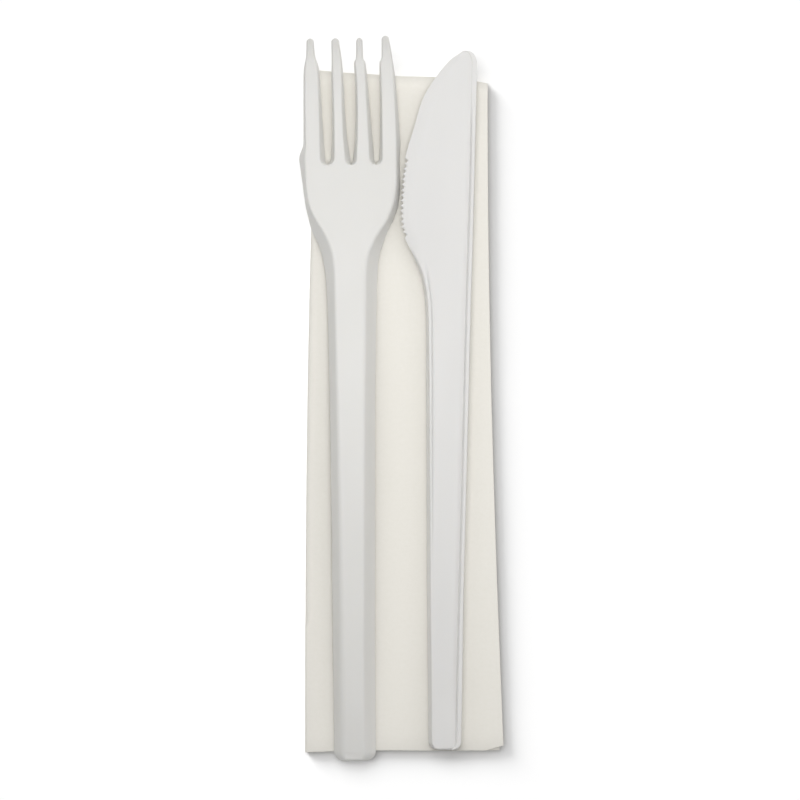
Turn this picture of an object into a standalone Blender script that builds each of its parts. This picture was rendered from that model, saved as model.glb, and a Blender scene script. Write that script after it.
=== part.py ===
"""A reusable cutlery set as it lies ready on a table: a four-tine fork and a serrated knife, both
moulded in off-white bioplastic, side by side on a paper napkin folded into a narrow packet.

Metres, +Z up. The set lies on the floor at Z = 0 with its length along Y and the tips at +Y, and the
origin is under the middle of the whole set. Each piece is first built in a frame of its own: Y runs
from its near end to its far end, X across, Z up from the surface that it lies on.
"""

import math

import bmesh
import bpy
from mathutils import Matrix, Vector

MM = 0.001

# Air left between two pieces that touch, and between the napkin's own layers.
REST_GAP = 0.3 * MM
LAYER_GAP = 0.06 * MM

# Napkin: one sheet folded into four stacked panels. The last fold is a little oblique, so the panels
# fan out from the far end, where they are narrowest, to the near end.
NAPKIN_LENGTH = 154.5 * MM
NAPKIN_PANEL_WIDTH = 38.8 * MM
NAPKIN_TOP_FAN = 6.2 * MM
NAPKIN_UNDER_FAN = 5.2 * MM
NAPKIN_INNER_SETBACK = 0.7 * MM
NAPKIN_PANEL_THICKNESS = 0.42 * MM
NAPKIN_LEFT_LEAN = 2.6 * MM
NAPKIN_LEFT_BOW = 2.5
NAPKIN_END_SLANT = 3.4 * MM
NAPKIN_FOLD_STEPS = 8
NAPKIN_RINGS = 9

# Fork, lengths along it from the butt of the handle.
FORK_HANDLE_LENGTH = 105 * MM
FORK_SHOULDER_LENGTH = 27 * MM
FORK_PALM_LENGTH = 4 * MM
FORK_TINE_LENGTH = 29 * MM

# Fork, widths across: of the skirt at the bottom of the sloping sides, and of the sloping sides.
FORK_BUTT_WIDTH = 10.4 * MM
FORK_MIDDLE_WIDTH = 10.3 * MM
FORK_NECK_WIDTH = 11.7 * MM
FORK_HEAD_WIDTH = 23.3 * MM
FORK_HANDLE_SLOPE = 2.85 * MM
FORK_HEAD_SLOPE = 1.25 * MM
FORK_HEAD_EASE = 0.1 * MM
FORK_WIDEST = 1.3 * MM
FORK_BUTT_CORNER = 2.3 * MM
FORK_BUTT_SLOPE = 1.2 * MM

# Fork, heights.
FORK_BUTT_HEIGHT = 3.4 * MM
FORK_HANDLE_HEIGHT = 4.8 * MM
FORK_HEAD_HEIGHT = 3.6 * MM
FORK_ARCH = 1.7 * MM
FORK_WALL = 1.1 * MM

# Tines: two inner and two outer ones, with their faces, the sloping sides and the rise of the tips.
INNER_TINE_PLACE = 2.65 * MM
INNER_TINE_WIDTH = 2.05 * MM
OUTER_TINE_PLACE = 8.8 * MM
OUTER_TINE_WIDTH = 3.0 * MM
TINE_ROOT_SLOPE = 1.15 * MM
TINE_ROOT_HEIGHT = 3.1 * MM
TINE_TIP_SLOPE = 0.22 * MM
TINE_TIP_HEIGHT = 1.4 * MM
TINE_RISE = 5.4 * MM
TINE_SPLAY = 0.3 * MM
TINE_STEP = 0.7 * MM
TINE_STEP_RUN = 2.9 * MM
TINE_START_RUN = 1.0 * MM
TINE_TIP_ROUND = 1.05 * MM
TINE_TIP_FLAT = 0.3

# Knife, lengths along it from the butt of the handle.
KNIFE_HANDLE_LENGTH = 102 * MM
KNIFE_HEEL_LENGTH = 18.5 * MM
KNIFE_BLADE_LENGTH = 38.5 * MM

# Knife, widths: the axis runs down the middle of the handle, and the back of the blade is at +X.
KNIFE_BUTT_WIDTH = 7.4 * MM
KNIFE_HANDLE_WIDTH = 10.6 * MM
KNIFE_BACK_REACH = 6.25 * MM
KNIFE_BLADE_REACH = 11.1 * MM
KNIFE_BUTT_CORNER = 1.9 * MM
KNIFE_NOSE_REACH = 2.9 * MM

# Knife, heights and walls.
KNIFE_HEIGHT = 3.4 * MM
KNIFE_RIM_WIDTH = 0.8 * MM
KNIFE_RIM_DRAFT = 0.25 * MM
KNIFE_STEP_DRAFT = 0.05 * MM
KNIFE_BEVEL = 3 * MM
KNIFE_RECESS = 0.8 * MM
KNIFE_WEB = 1.3 * MM
KNIFE_EDGE = 0.45 * MM
KNIFE_RIM_STOP = 8.5 * MM
KNIFE_RIM_FADE = 12.75 * MM

# Where the blade is narrow, the most of its width that the bevel and the rim take.
BEVEL_SHARE = 0.3
RIM_SHARE = 0.2

# Teeth along the cutting edge, from a little before the end of the heel.
TOOTH_COUNT = 15
TOOTH_PITCH = 1.2 * MM
TOOTH_DEPTH = 0.55 * MM
TEETH_INTO_HEEL = 4 * MM

# How the pieces lie: the fork's butt hangs over the napkin's near end, the knife's lies just inside
# it, and the cutting edge clears the fork's skirt. Turns are to the left, seen from above.
FORK_INSET = 11.5 * MM
FORK_OVERHANG = 2.4 * MM
FORK_TURN = math.radians(0.62)
KNIFE_END_INSET = 0.3 * MM
KNIFE_TURN = math.radians(-0.33)
SIDE_CLEARANCE = 0.3 * MM

EDGE_ROUND = 0.3 * MM
MERGE = 0.001 * MM
CUT_MARGIN = 1 * MM

PLASTIC_COLOUR = (0.80, 0.80, 0.78, 1.0)
PLASTIC_ROUGHNESS = 0.42
PAPER_COLOUR = (0.87, 0.85, 0.76, 1.0)
PAPER_ROUGHNESS = 0.95


def clear_scene():
    """Start from an empty file."""
    for thing in list(bpy.data.objects):
        bpy.data.objects.remove(thing, do_unlink=True)


def new_collection(name):
    """Add a collection to the scene."""
    collection = bpy.data.collections.new(name)
    bpy.context.scene.collection.children.link(collection)
    return collection


def new_material(name, colour, roughness):
    """Make a plain Principled material."""
    material = bpy.data.materials.new(name)
    material.use_nodes = True
    shader = material.node_tree.nodes["Principled BSDF"]
    shader.inputs["Base Color"].default_value = colour
    shader.inputs["Roughness"].default_value = roughness
    shader.inputs["Metallic"].default_value = 0.0
    return material


def curve_through(points):
    """Return a smooth function through (place, value) points that never overshoots them."""
    places = [point[0] for point in points]
    values = [point[1] for point in points]
    spans = [b - a for a, b in zip(places, places[1:])]
    slopes = [(b - a) / span for a, b, span in zip(values, values[1:], spans)]
    tangents = [slopes[0]]
    for before, after in zip(slopes, slopes[1:]):
        tangents.append(0.0 if before * after <= 0 else 2 * before * after / (before + after))
    tangents.append(slopes[-1])

    def value_at(place):
        if place <= places[0]:
            return values[0]
        if place >= places[-1]:
            return values[-1]
        k = max(i for i, start in enumerate(places[:-1]) if start <= place)
        t = (place - places[k]) / spans[k]
        return (
            values[k] * (2 * t**3 - 3 * t**2 + 1)
            + tangents[k] * spans[k] * (t**3 - 2 * t**2 + t)
            + values[k + 1] * (3 * t**2 - 2 * t**3)
            + tangents[k + 1] * spans[k] * (t**3 - t**2)
        )

    return value_at


def mix(a, b, share):
    """Blend two values."""
    return a + (b - a) * share


def spread(start, end, count):
    """Return count even steps from start up to, but not including, end."""
    return [mix(start, end, i / count) for i in range(count)]


def object_from(bm, name, collection, material=None):
    """Turn a bmesh into an object with its faces pointing out."""
    bmesh.ops.recalc_face_normals(bm, faces=bm.faces)
    if bm.calc_volume(signed=True) < 0:
        bmesh.ops.reverse_faces(bm, faces=bm.faces)
    mesh = bpy.data.meshes.new(name)
    bm.to_mesh(mesh)
    bm.free()
    thing = bpy.data.objects.new(name, mesh)
    collection.objects.link(thing)
    if material:
        mesh.materials.append(material)
    return thing


def loft(rings):
    """Skin a row of rings with equal point counts and close both ends."""
    bm = bmesh.new()
    rows = [[bm.verts.new(point) for point in ring] for ring in rings]
    for low, high in zip(rows, rows[1:]):
        for i in range(len(low)):
            k = (i + 1) % len(low)
            bm.faces.new((low[i], low[k], high[k], high[i]))
    bm.faces.new(rows[0])
    bm.faces.new(rows[-1])
    return bm


def smooth(thing, angle=math.radians(35)):
    """Shade smooth with sharp edges kept sharp."""
    thing.data.shade_smooth()
    thing.data.set_sharp_from_angle(angle=angle)


def cut(thing, cutter, name):
    """Take the cutter's shape out of the piece."""
    boolean = thing.modifiers.new(name, "BOOLEAN")
    boolean.operation = "DIFFERENCE"
    boolean.solver = "EXACT"
    boolean.object = cutter
    cutter.hide_render = True
    cutter.display_type = "WIRE"


# The fork's plan and side view, as functions of the distance from its butt.

FORK_NECK = FORK_HANDLE_LENGTH
FORK_SHOULDER = FORK_NECK + FORK_SHOULDER_LENGTH
FORK_ROOT = FORK_SHOULDER + FORK_PALM_LENGTH


def fork_skirt():
    """Half the width of the skirt."""
    neck = FORK_NECK_WIDTH / 2
    head = FORK_HEAD_WIDTH / 2
    shoulder = ((0.17, 0.03), (0.38, 0.13), (0.5, 0.3), (0.57, 0.46), (0.67, 0.69), (0.84, 0.89))
    points = [(0.0, FORK_BUTT_WIDTH / 2), (0.45 * FORK_NECK, FORK_MIDDLE_WIDTH / 2), (FORK_NECK, neck)]
    points += [(FORK_NECK + a * FORK_SHOULDER_LENGTH, mix(neck, head, b)) for a, b in shoulder]
    points += [(FORK_SHOULDER, head - FORK_HEAD_EASE), (FORK_ROOT + FORK_WIDEST, head)]
    return curve_through(points)


def fork_slope():
    """Width of the sloping side, seen from above."""
    head, handle = FORK_HEAD_SLOPE, FORK_HANDLE_SLOPE
    return curve_through([
        (0.0, handle),
        (FORK_NECK + 0.35 * FORK_SHOULDER_LENGTH, handle),
        (FORK_NECK + 0.67 * FORK_SHOULDER_LENGTH, mix(head, handle, 0.3)),
        (FORK_SHOULDER, head),
    ])


def fork_height():
    """Height of the section, from the skirt to the face."""
    return curve_through([
        (0.0, FORK_BUTT_HEIGHT),
        (0.35 * FORK_NECK, mix(FORK_BUTT_HEIGHT, FORK_HANDLE_HEIGHT, 0.85)),
        (0.75 * FORK_NECK, FORK_HANDLE_HEIGHT),
        (FORK_NECK, mix(FORK_HEAD_HEIGHT, FORK_HANDLE_HEIGHT, 0.7)),
        (FORK_NECK + 0.6 * FORK_SHOULDER_LENGTH, mix(FORK_HEAD_HEIGHT, FORK_HANDLE_HEIGHT, 0.15)),
        (FORK_ROOT, FORK_HEAD_HEIGHT),
    ])


def fork_underside():
    """Height of the skirt's edge above what the fork lies on."""
    return curve_through([
        (0.0, 0.0),
        (0.33 * FORK_NECK, 0.55 * FORK_ARCH),
        (0.67 * FORK_NECK, FORK_ARCH),
        (FORK_NECK, 0.5 * FORK_ARCH),
        (FORK_SHOULDER, 0.02 * FORK_ARCH),
        (FORK_ROOT, 0.0),
    ])


def tine_face():
    """Height of the tines' face above what the fork lies on, along the tines."""
    tip = TINE_RISE + TINE_TIP_HEIGHT
    return curve_through([
        (0.0, FORK_HEAD_HEIGHT),
        (0.27, mix(FORK_HEAD_HEIGHT, tip, 0.06)),
        (0.5, mix(FORK_HEAD_HEIGHT, tip, 0.24)),
        (0.75, mix(FORK_HEAD_HEIGHT, tip, 0.56)),
        (1.0, tip),
    ])


def tine_height():
    """Height of a tine's section along the tines."""
    return curve_through([
        (0.0, TINE_ROOT_HEIGHT),
        (0.3, mix(TINE_TIP_HEIGHT, TINE_ROOT_HEIGHT, 0.62)),
        (0.65, mix(TINE_TIP_HEIGHT, TINE_ROOT_HEIGHT, 0.25)),
        (1.0, TINE_TIP_HEIGHT),
    ])


def tine_slope():
    """Width of a tine's sloping sides along the tines."""
    return curve_through([
        (0.0, TINE_ROOT_SLOPE),
        (0.3, mix(TINE_TIP_SLOPE, TINE_ROOT_SLOPE, 0.6)),
        (0.65, mix(TINE_TIP_SLOPE, TINE_ROOT_SLOPE, 0.2)),
        (1.0, TINE_TIP_SLOPE),
    ])


def tine_taper():
    """Share of its root width that a tine's face keeps along the tines."""
    return curve_through([(0.0, 1.0), (0.25, 0.97), (0.5, 0.88), (0.7, 0.8), (0.85, 0.64), (1.0, 0.46)])


def fork_stations():
    """Places along the handle and head where the section is taken, up to the tines' roots."""
    handle = spread(FORK_BUTT_CORNER, FORK_NECK, 10)
    shoulder = spread(FORK_NECK, FORK_SHOULDER, 10)
    palm = spread(FORK_SHOULDER, FORK_ROOT, 2)
    return handle + shoulder + palm


def edge_column(face, low, inward):
    """Points down one side of the fork: round from the face into the slope, then straight down it."""
    face, low = Vector(face), Vector(low)
    down = (low - face).normalized()
    start = face + Vector(inward).normalized() * EDGE_ROUND
    end = face + down * EDGE_ROUND
    return [start, 0.25 * start + 0.5 * face + 0.25 * end, end, low]


def inner_shares():
    """Where the rails of the tines run across the solid handle and head, as shares of its half width."""
    half = FORK_HEAD_WIDTH / 2
    root_inner = 0.35 * INNER_TINE_PLACE
    root_gap = (INNER_TINE_PLACE + OUTER_TINE_PLACE) / 2
    return [0.0, root_inner / half, 0.85 * root_gap / half, 1.1 * root_gap / half]


def body_rows():
    """Rows of columns along the right half of the handle and head.

    A row holds a column for each rail of the half: the middle line, both sides of the inner tine and
    both sides of the outer tine. A column holds its points from the face down to the underside.
    """
    skirt, slope, height, under = fork_skirt(), fork_slope(), fork_height(), fork_underside()
    rows = []
    for a in (0, 30, 60):
        turn = math.radians(a)
        y = FORK_BUTT_CORNER * (1 - math.cos(turn))
        wide = skirt(y) - FORK_BUTT_CORNER * (1 - math.sin(turn))
        face_corner = FORK_BUTT_CORNER - FORK_BUTT_SLOPE
        face_y = FORK_BUTT_SLOPE + face_corner * (1 - math.cos(turn))
        face = skirt(y) - slope(y) - face_corner * (1 - math.sin(turn))
        top = under(y) + height(y)
        columns = []
        for share in inner_shares():
            columns.append(edge_column((share * face, face_y, top), (share * wide, y, under(y)), (0, 1, 0)))
        inward = (-math.sin(turn), math.cos(turn), 0)
        columns.append(edge_column((face, face_y, top), (wide, y, under(y)), inward))
        rows.append(columns)
    for y in fork_stations():
        wide, top, low = skirt(y), under(y) + height(y), under(y)
        face = wide - slope(y)
        columns = []
        for share in inner_shares():
            columns.append([Vector((share * face, y, top)), Vector((share * wide, y, low))])
        columns.append(edge_column((face, y, top), (wide, y, low), (-1, 0, 0)))
        rows.append(columns)
    return rows


def gap_rows():
    """Rows of columns round the closed ends of the gaps between the tines."""
    skirt, face_z, deep = fork_skirt(), tine_face(), tine_height()
    inner_gap = INNER_TINE_PLACE - INNER_TINE_WIDTH / 2
    outer_gap = tine_gap()
    middle = INNER_TINE_PLACE + INNER_TINE_WIDTH / 2 + outer_gap
    rows = []
    for a in (0, 30, 60, 90):
        turn = math.radians(a)
        ahead, out = 1 - math.cos(turn), math.sin(turn)
        columns = [None]
        for place, gap, side in ((0, inner_gap, 1), (middle, outer_gap, -1), (middle, outer_gap, 1)):
            low_gap = gap - TINE_ROOT_SLOPE
            y = FORK_ROOT + gap * ahead
            share = (y - FORK_ROOT) / FORK_TINE_LENGTH
            face = (place + side * gap * out, y, face_z(share))
            low_y = FORK_ROOT + TINE_ROOT_SLOPE + low_gap * ahead
            low = (place + side * low_gap * out, low_y, face_z(share) - deep(share))
            columns.append(edge_column(face, low, (side * out, -math.cos(turn), 0)))
        y = FORK_ROOT + outer_gap * ahead
        share = (y - FORK_ROOT) / FORK_TINE_LENGTH
        low_z = mix(0.0, face_z(share) - deep(share), ahead)
        face = (skirt(y) - FORK_HEAD_SLOPE, y, face_z(share))
        columns.append(edge_column(face, (skirt(y), y, low_z), (-1, 0, 0)))
        if a == 0:
            columns[0] = columns[1]
        rows.append(columns)
    return rows


def tine_gap():
    """Half the width of the gap between an inner and an outer tine, at the level of the face."""
    return (OUTER_TINE_PLACE - OUTER_TINE_WIDTH / 2 - INNER_TINE_PLACE - INNER_TINE_WIDTH / 2) / 2


def tine_rows():
    """Rows of columns along the free tines, out to their round tips."""
    face_z, deep, slope, taper = tine_face(), tine_height(), tine_slope(), tine_taper()
    start = tine_gap() / FORK_TINE_LENGTH
    rows = []
    first = start + TINE_START_RUN / FORK_TINE_LENGTH
    tip_round = TINE_TIP_ROUND / FORK_TINE_LENGTH
    step_run = TINE_STEP_RUN / FORK_TINE_LENGTH
    stations = [(share, 0) for share in (first, 0.18, 0.3, 0.42, 0.54, 0.66, 0.76, 0.86)]
    stations += [(1 - tip_round * (1 - math.sin(math.radians(a))), a) for a in (0, 30, 55, 75)]
    for share, a in stations:
        narrow = math.cos(math.radians(a))
        y = FORK_ROOT + share * FORK_TINE_LENGTH
        side = slope(share)
        top_z = face_z(share)
        low_z = top_z - deep(share)
        stepped = TINE_STEP * min(1.0, (share - start) / step_run)
        outside = max(TINE_TIP_SLOPE, min(side, FORK_HEAD_SLOPE - stepped))
        inner = 0.5 * INNER_TINE_WIDTH * mix(1.0, taper(share), 0.75) * narrow
        outer = 0.5 * OUTER_TINE_WIDTH * taper(share) * narrow
        outer_place = OUTER_TINE_PLACE - TINE_SPLAY * share
        columns = [None]
        for place, half, skew, direction in (
            (INNER_TINE_PLACE, inner, side, -1), (INNER_TINE_PLACE, inner, side, 1),
            (outer_place, outer, side, -1), (outer_place, outer, outside, 1),
        ):
            face = (place + direction * half, y, top_z)
            low = (place + direction * (half + skew * narrow), y, low_z)
            ease_in = min(1.0, half / EDGE_ROUND - TINE_TIP_FLAT)
            inward = Vector((-direction * ease_in, 0, 0))
            column = edge_column(face, low, inward)
            column[0] = Vector(face) + inward * EDGE_ROUND
            columns.append(column)
        rows.append(columns)
    return rows


def build_fork(collection, cutters, material):
    """Build the right half from its rails, mirror it, and hollow the handle and head from below."""
    solid = body_rows()
    rows = solid + gap_rows() + tine_rows()
    bm = bmesh.new()
    verts = [[[bm.verts.new(p) for p in column] if column else None for column in row] for row in rows]

    def strip(a, b):
        bm.faces.new((a[0], b[0], b[1], a[1]))

    def wall(near, far):
        for m in range(3):
            bm.faces.new((near[m], near[m + 1], far[m + 1], far[m]))

    for k in range(len(rows) - 1):
        whole = k < len(solid)
        for i in range(4) if whole else (1, 3):
            for level in (0, -1):
                near = [verts[k][i][level], verts[k + 1][i][level]]
                far = [verts[k][i + 1][level], verts[k + 1][i + 1][level]]
                strip(near, far)
        for i in (4,) if whole else (1, 2, 3, 4):
            wall(verts[k][i], verts[k + 1][i])
    for i in range(4):
        wall(verts[0][i], verts[0][i + 1])
    for i in (1, 3):
        wall(verts[-1][i], verts[-1][i + 1])
    bmesh.ops.remove_doubles(bm, verts=bm.verts, dist=MERGE)
    bmesh.ops.dissolve_degenerate(bm, edges=bm.edges, dist=MERGE)
    fork = object_from(bm, "fork", collection, material)
    mirror = fork.modifiers.new("Two alike halves", "MIRROR")
    mirror.use_axis = (True, False, False)
    mirror.merge_threshold = MERGE
    hollow = object_from(loft(channel_rings()), "fork_hollow", cutters)
    cut(fork, hollow, "Hollow underside")
    smooth(fork)
    return fork, hollow


def channel_rings():
    """Sections of the hollow under the handle and head, one wall thickness inside the fork."""
    skirt, slope, height, under = fork_skirt(), fork_slope(), fork_height(), fork_underside()
    start = FORK_BUTT_CORNER + FORK_WALL
    end = FORK_ROOT - FORK_WALL
    rings = []
    for y in spread(start, FORK_NECK, 10) + spread(FORK_NECK, end, 10) + [end]:
        rise = height(y)
        lean = slope(y) / rise
        wall = FORK_WALL * math.hypot(1.0, lean)
        low_half = skirt(y) - wall + lean * CUT_MARGIN
        high_half = skirt(y) - wall - lean * (rise - FORK_WALL)
        low_z = under(y) - CUT_MARGIN
        high_z = under(y) + rise - FORK_WALL
        rings.append([
            Vector((-low_half, y, low_z)), Vector((low_half, y, low_z)),
            Vector((high_half, y, high_z)), Vector((-high_half, y, high_z)),
        ])
    return rings


# The knife's plan and side view, as functions of the distance from its butt.

KNIFE_HEEL = KNIFE_HANDLE_LENGTH
KNIFE_BLADE = KNIFE_HEEL + KNIFE_HEEL_LENGTH
KNIFE_TIP = KNIFE_BLADE + KNIFE_BLADE_LENGTH
TOOTH_START = KNIFE_BLADE - TEETH_INTO_HEEL


def knife_back():
    """Distance of the back from the axis."""
    slope = (KNIFE_HANDLE_WIDTH - KNIFE_BUTT_WIDTH) / 2 / KNIFE_HEEL
    return curve_through([
        (0.0, KNIFE_BUTT_WIDTH / 2),
        (0.4 * KNIFE_HEEL, KNIFE_BUTT_WIDTH / 2 + 0.32 * slope * KNIFE_HEEL),
        (KNIFE_HEEL, KNIFE_HANDLE_WIDTH / 2),
        (KNIFE_TIP, KNIFE_BACK_REACH),
    ])


def knife_front():
    """Distance of the handle's other side, the heel and the cutting edge from the axis."""
    half, reach, nose = KNIFE_HANDLE_WIDTH / 2, KNIFE_BLADE_REACH, -KNIFE_NOSE_REACH
    slope = (KNIFE_HANDLE_WIDTH - KNIFE_BUTT_WIDTH) / 2 / KNIFE_HEEL
    heel = ((0.25, 0.12), (0.52, 0.44), (0.74, 0.78), (1.0, 1.0))
    blade = ((0.12, 0.993), (0.24, 0.98), (0.39, 0.91), (0.54, 0.79), (0.71, 0.645), (0.83, 0.45))
    blade += ((0.95, 0.15),)
    points = [
        (0.0, KNIFE_BUTT_WIDTH / 2),
        (0.4 * KNIFE_HEEL, KNIFE_BUTT_WIDTH / 2 + 0.32 * slope * KNIFE_HEEL),
        (KNIFE_HEEL, half),
    ]
    points += [(KNIFE_HEEL + a * KNIFE_HEEL_LENGTH, mix(half, reach, b)) for a, b in heel]
    points += [(KNIFE_BLADE + a * KNIFE_BLADE_LENGTH, mix(nose, reach, b)) for a, b in blade]
    points += [(KNIFE_TIP, nose)]
    return curve_through(points)


def tooth_shape(y):
    """How far the cutting edge is notched at a place along it: a shallow scallop for each tooth."""
    along = (y - TOOTH_START) / TOOTH_PITCH
    if along <= 0 or along >= TOOTH_COUNT:
        return 0.0
    return TOOTH_DEPTH * math.sin(math.pi * (along % 1.0))


def knife_stations():
    """Places along the knife where the section is taken: close together at round ends and teeth."""
    corner = KNIFE_BUTT_CORNER
    butt = [corner * (1 - math.cos(math.radians(a))) for a in (0, 30, 60)]
    handle = spread(corner, KNIFE_HEEL, 6)
    heel = spread(KNIFE_HEEL, TOOTH_START, 6)
    teeth_end = TOOTH_START + TOOTH_COUNT * TOOTH_PITCH
    teeth = spread(TOOTH_START, teeth_end, 4 * TOOTH_COUNT)
    nose = KNIFE_NOSE_REACH
    blade = spread(teeth_end, KNIFE_TIP - nose, 8)
    tip = [KNIFE_TIP - nose * (1 - math.sin(math.radians(a))) for a in (0, 20, 40, 60, 75, 88)]
    return butt + handle + heel + teeth + blade + tip


def knife_ring(y, back, front, heel_rim, back_rim):
    """Section of the knife: a web between two rims, of which the front one ends at the heel."""
    corner = KNIFE_BUTT_CORNER * (1 - math.sqrt(max(0.0, 1 - max(0.0, 1 - y / KNIFE_BUTT_CORNER) ** 2)))
    into_nose = max(0.0, 1 - (KNIFE_TIP - y) / KNIFE_NOSE_REACH)
    nose_round = KNIFE_NOSE_REACH * 0.75 * (1 - math.sqrt(max(0.0, 1 - into_nose**2)))
    right = back(y) - corner - nose_round
    left = -(front(y) - tooth_shape(y)) + corner
    rim = heel_rim(y)
    spine = back_rim(y)
    web_top = KNIFE_HEIGHT - KNIFE_RECESS
    web_low = web_top - KNIFE_WEB
    edge_top = mix((web_top + web_low + KNIFE_EDGE) / 2, KNIFE_HEIGHT, rim)
    edge_low = mix((web_top + web_low - KNIFE_EDGE) / 2, 0.0, rim)
    spine_top = mix(web_top, KNIFE_HEIGHT, spine)
    spine_low = mix(web_low, 0.0, spine)
    bevel = mix(min(KNIFE_BEVEL, BEVEL_SHARE * (right - left)), KNIFE_RIM_WIDTH, rim)
    draft = KNIFE_RIM_DRAFT
    step = KNIFE_STEP_DRAFT
    thin = min(KNIFE_RIM_WIDTH, RIM_SHARE * (right - left))
    left_bevel = left + BEVEL_SHARE * bevel
    bevel_top = mix(edge_top, web_top, BEVEL_SHARE)
    bevel_low = mix(edge_low, web_low, BEVEL_SHARE)
    left_in = left + draft + bevel
    right_in = right - draft - thin
    return [
        Vector((left, y, edge_low)),
        Vector((left + draft * rim, y, edge_top)),
        Vector((mix(left_bevel, left_in, rim), y, mix(bevel_top, KNIFE_HEIGHT, rim))),
        Vector((left_in + step, y, web_top)),
        Vector((right_in - step, y, web_top)),
        Vector((right_in, y, spine_top)),
        Vector((right - draft, y, spine_top)),
        Vector((right, y, spine_low)),
        Vector((right_in - draft, y, spine_low)),
        Vector((right_in - draft - step, y, web_low)),
        Vector((left_in + draft + step, y, web_low)),
        Vector((mix(left_bevel, left_in + draft, rim), y, mix(bevel_low, 0.0, rim))),
    ]


def build_knife(collection, material):
    """Loft the knife from butt to nose."""
    back, front = knife_back(), knife_front()
    heel_rim = curve_through([
        (0.0, 1.0),
        (KNIFE_HEEL + 0.3 * KNIFE_HEEL_LENGTH, 1.0),
        (KNIFE_HEEL + 0.75 * KNIFE_HEEL_LENGTH, 0.0),
    ])
    back_rim = curve_through([
        (0.0, 1.0),
        (KNIFE_TIP - KNIFE_RIM_STOP - KNIFE_RIM_FADE, 1.0),
        (KNIFE_TIP - KNIFE_RIM_STOP, 0.0),
    ])
    rings = [knife_ring(y, back, front, heel_rim, back_rim) for y in knife_stations()]
    knife = object_from(loft(rings), "knife", collection, material)
    smooth(knife)
    return knife


def napkin_panel_end(level, share):
    """Width of the panel at a level of the stack (0 lowest), a share of the way to the far end."""
    fans = (NAPKIN_UNDER_FAN, NAPKIN_UNDER_FAN, NAPKIN_TOP_FAN - NAPKIN_INNER_SETBACK, NAPKIN_TOP_FAN)
    return NAPKIN_PANEL_WIDTH + fans[level] * (1 - share)


def napkin_section(share):
    """Closed outline, across the napkin, of one sheet folded into four stacked panels.

    The sheet starts at the right in the second panel from the top, folds back at the left into the
    third, folds at the right into the lowest, and wraps round both at the left into the top panel.
    Each point of its middle line comes with the direction of the sheet's first face.
    """
    thick = NAPKIN_PANEL_THICKNESS
    pitch = thick + LAYER_GAP
    levels = [thick / 2 + k * pitch for k in range(4)]
    nest = (levels[1] + levels[2]) / 2
    foot = (levels[0] + levels[1]) / 2
    left = 1.5 * pitch + thick / 2
    right = napkin_panel_end(0, share) - pitch / 2 - thick / 2
    turns = [math.pi * i / NAPKIN_FOLD_STEPS for i in range(NAPKIN_FOLD_STEPS + 1)]
    path = [(napkin_panel_end(2, share), levels[2], 0.0, 1.0)]
    for turn in turns:
        across, up = -math.sin(turn), math.cos(turn)
        path.append((left + pitch / 2 * across, nest + pitch / 2 * up, across, up))
    for turn in turns:
        across, up = math.sin(turn), math.cos(turn)
        path.append((right + pitch / 2 * across, foot + pitch / 2 * up, -across, -up))
    for turn in turns:
        across, up = -math.sin(turn), -math.cos(turn)
        path.append((left + 1.5 * pitch * across, nest + 1.5 * pitch * up, -across, -up))
    path.append((napkin_panel_end(3, share), levels[3], 0.0, -1.0))
    first = [(x + thick / 2 * nx, z + thick / 2 * nz) for x, z, nx, nz in path]
    second = [(x - thick / 2 * nx, z - thick / 2 * nz) for x, z, nx, nz in path]
    return first + second[::-1]


def build_napkin(collection, material):
    """Loft the folded section along the napkin, with its far end cut on a slight slant."""
    rings = []
    for i in range(NAPKIN_RINGS):
        share = i / (NAPKIN_RINGS - 1)
        lean = NAPKIN_LEFT_LEAN * share**NAPKIN_LEFT_BOW
        ring = []
        for x, z in napkin_section(share):
            y = NAPKIN_LENGTH * share - NAPKIN_END_SLANT * share * x / NAPKIN_PANEL_WIDTH
            ring.append(Vector((x + lean, y, z)))
        rings.append(ring)
    napkin = object_from(loft(rings), "napkin", collection, material)
    smooth(napkin)
    return napkin


def knife_across():
    """Place of the knife's axis, so that its cutting edge clears the fork's skirt."""
    skirt, front = fork_skirt(), knife_front()
    places = []
    for y in knife_stations():
        along = y + KNIFE_END_INSET + FORK_OVERHANG
        fork_edge = FORK_INSET - along * math.sin(FORK_TURN) + skirt(along)
        places.append(fork_edge + SIDE_CLEARANCE + front(y) + y * math.sin(KNIFE_TURN))
    return max(places)


def lay(things, place, turn):
    """Turn things about their near end and move them to where they lie."""
    for thing in things:
        thing.rotation_euler = (0.0, 0.0, turn)
        thing.location = place


def centre(pieces, others):
    """Put the origin under the middle of the whole set."""
    bpy.context.view_layer.update()
    depsgraph = bpy.context.evaluated_depsgraph_get()
    points = []
    for piece in pieces:
        shape = piece.evaluated_get(depsgraph)
        points += [piece.matrix_world @ vertex.co for vertex in shape.data.vertices]
    middle_x = (min(p.x for p in points) + max(p.x for p in points)) / 2
    middle_y = (min(p.y for p in points) + max(p.y for p in points)) / 2
    shift = Matrix.Translation((-middle_x, -middle_y, 0.0))
    for thing in pieces + others:
        thing.matrix_world = shift @ thing.matrix_world


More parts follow.
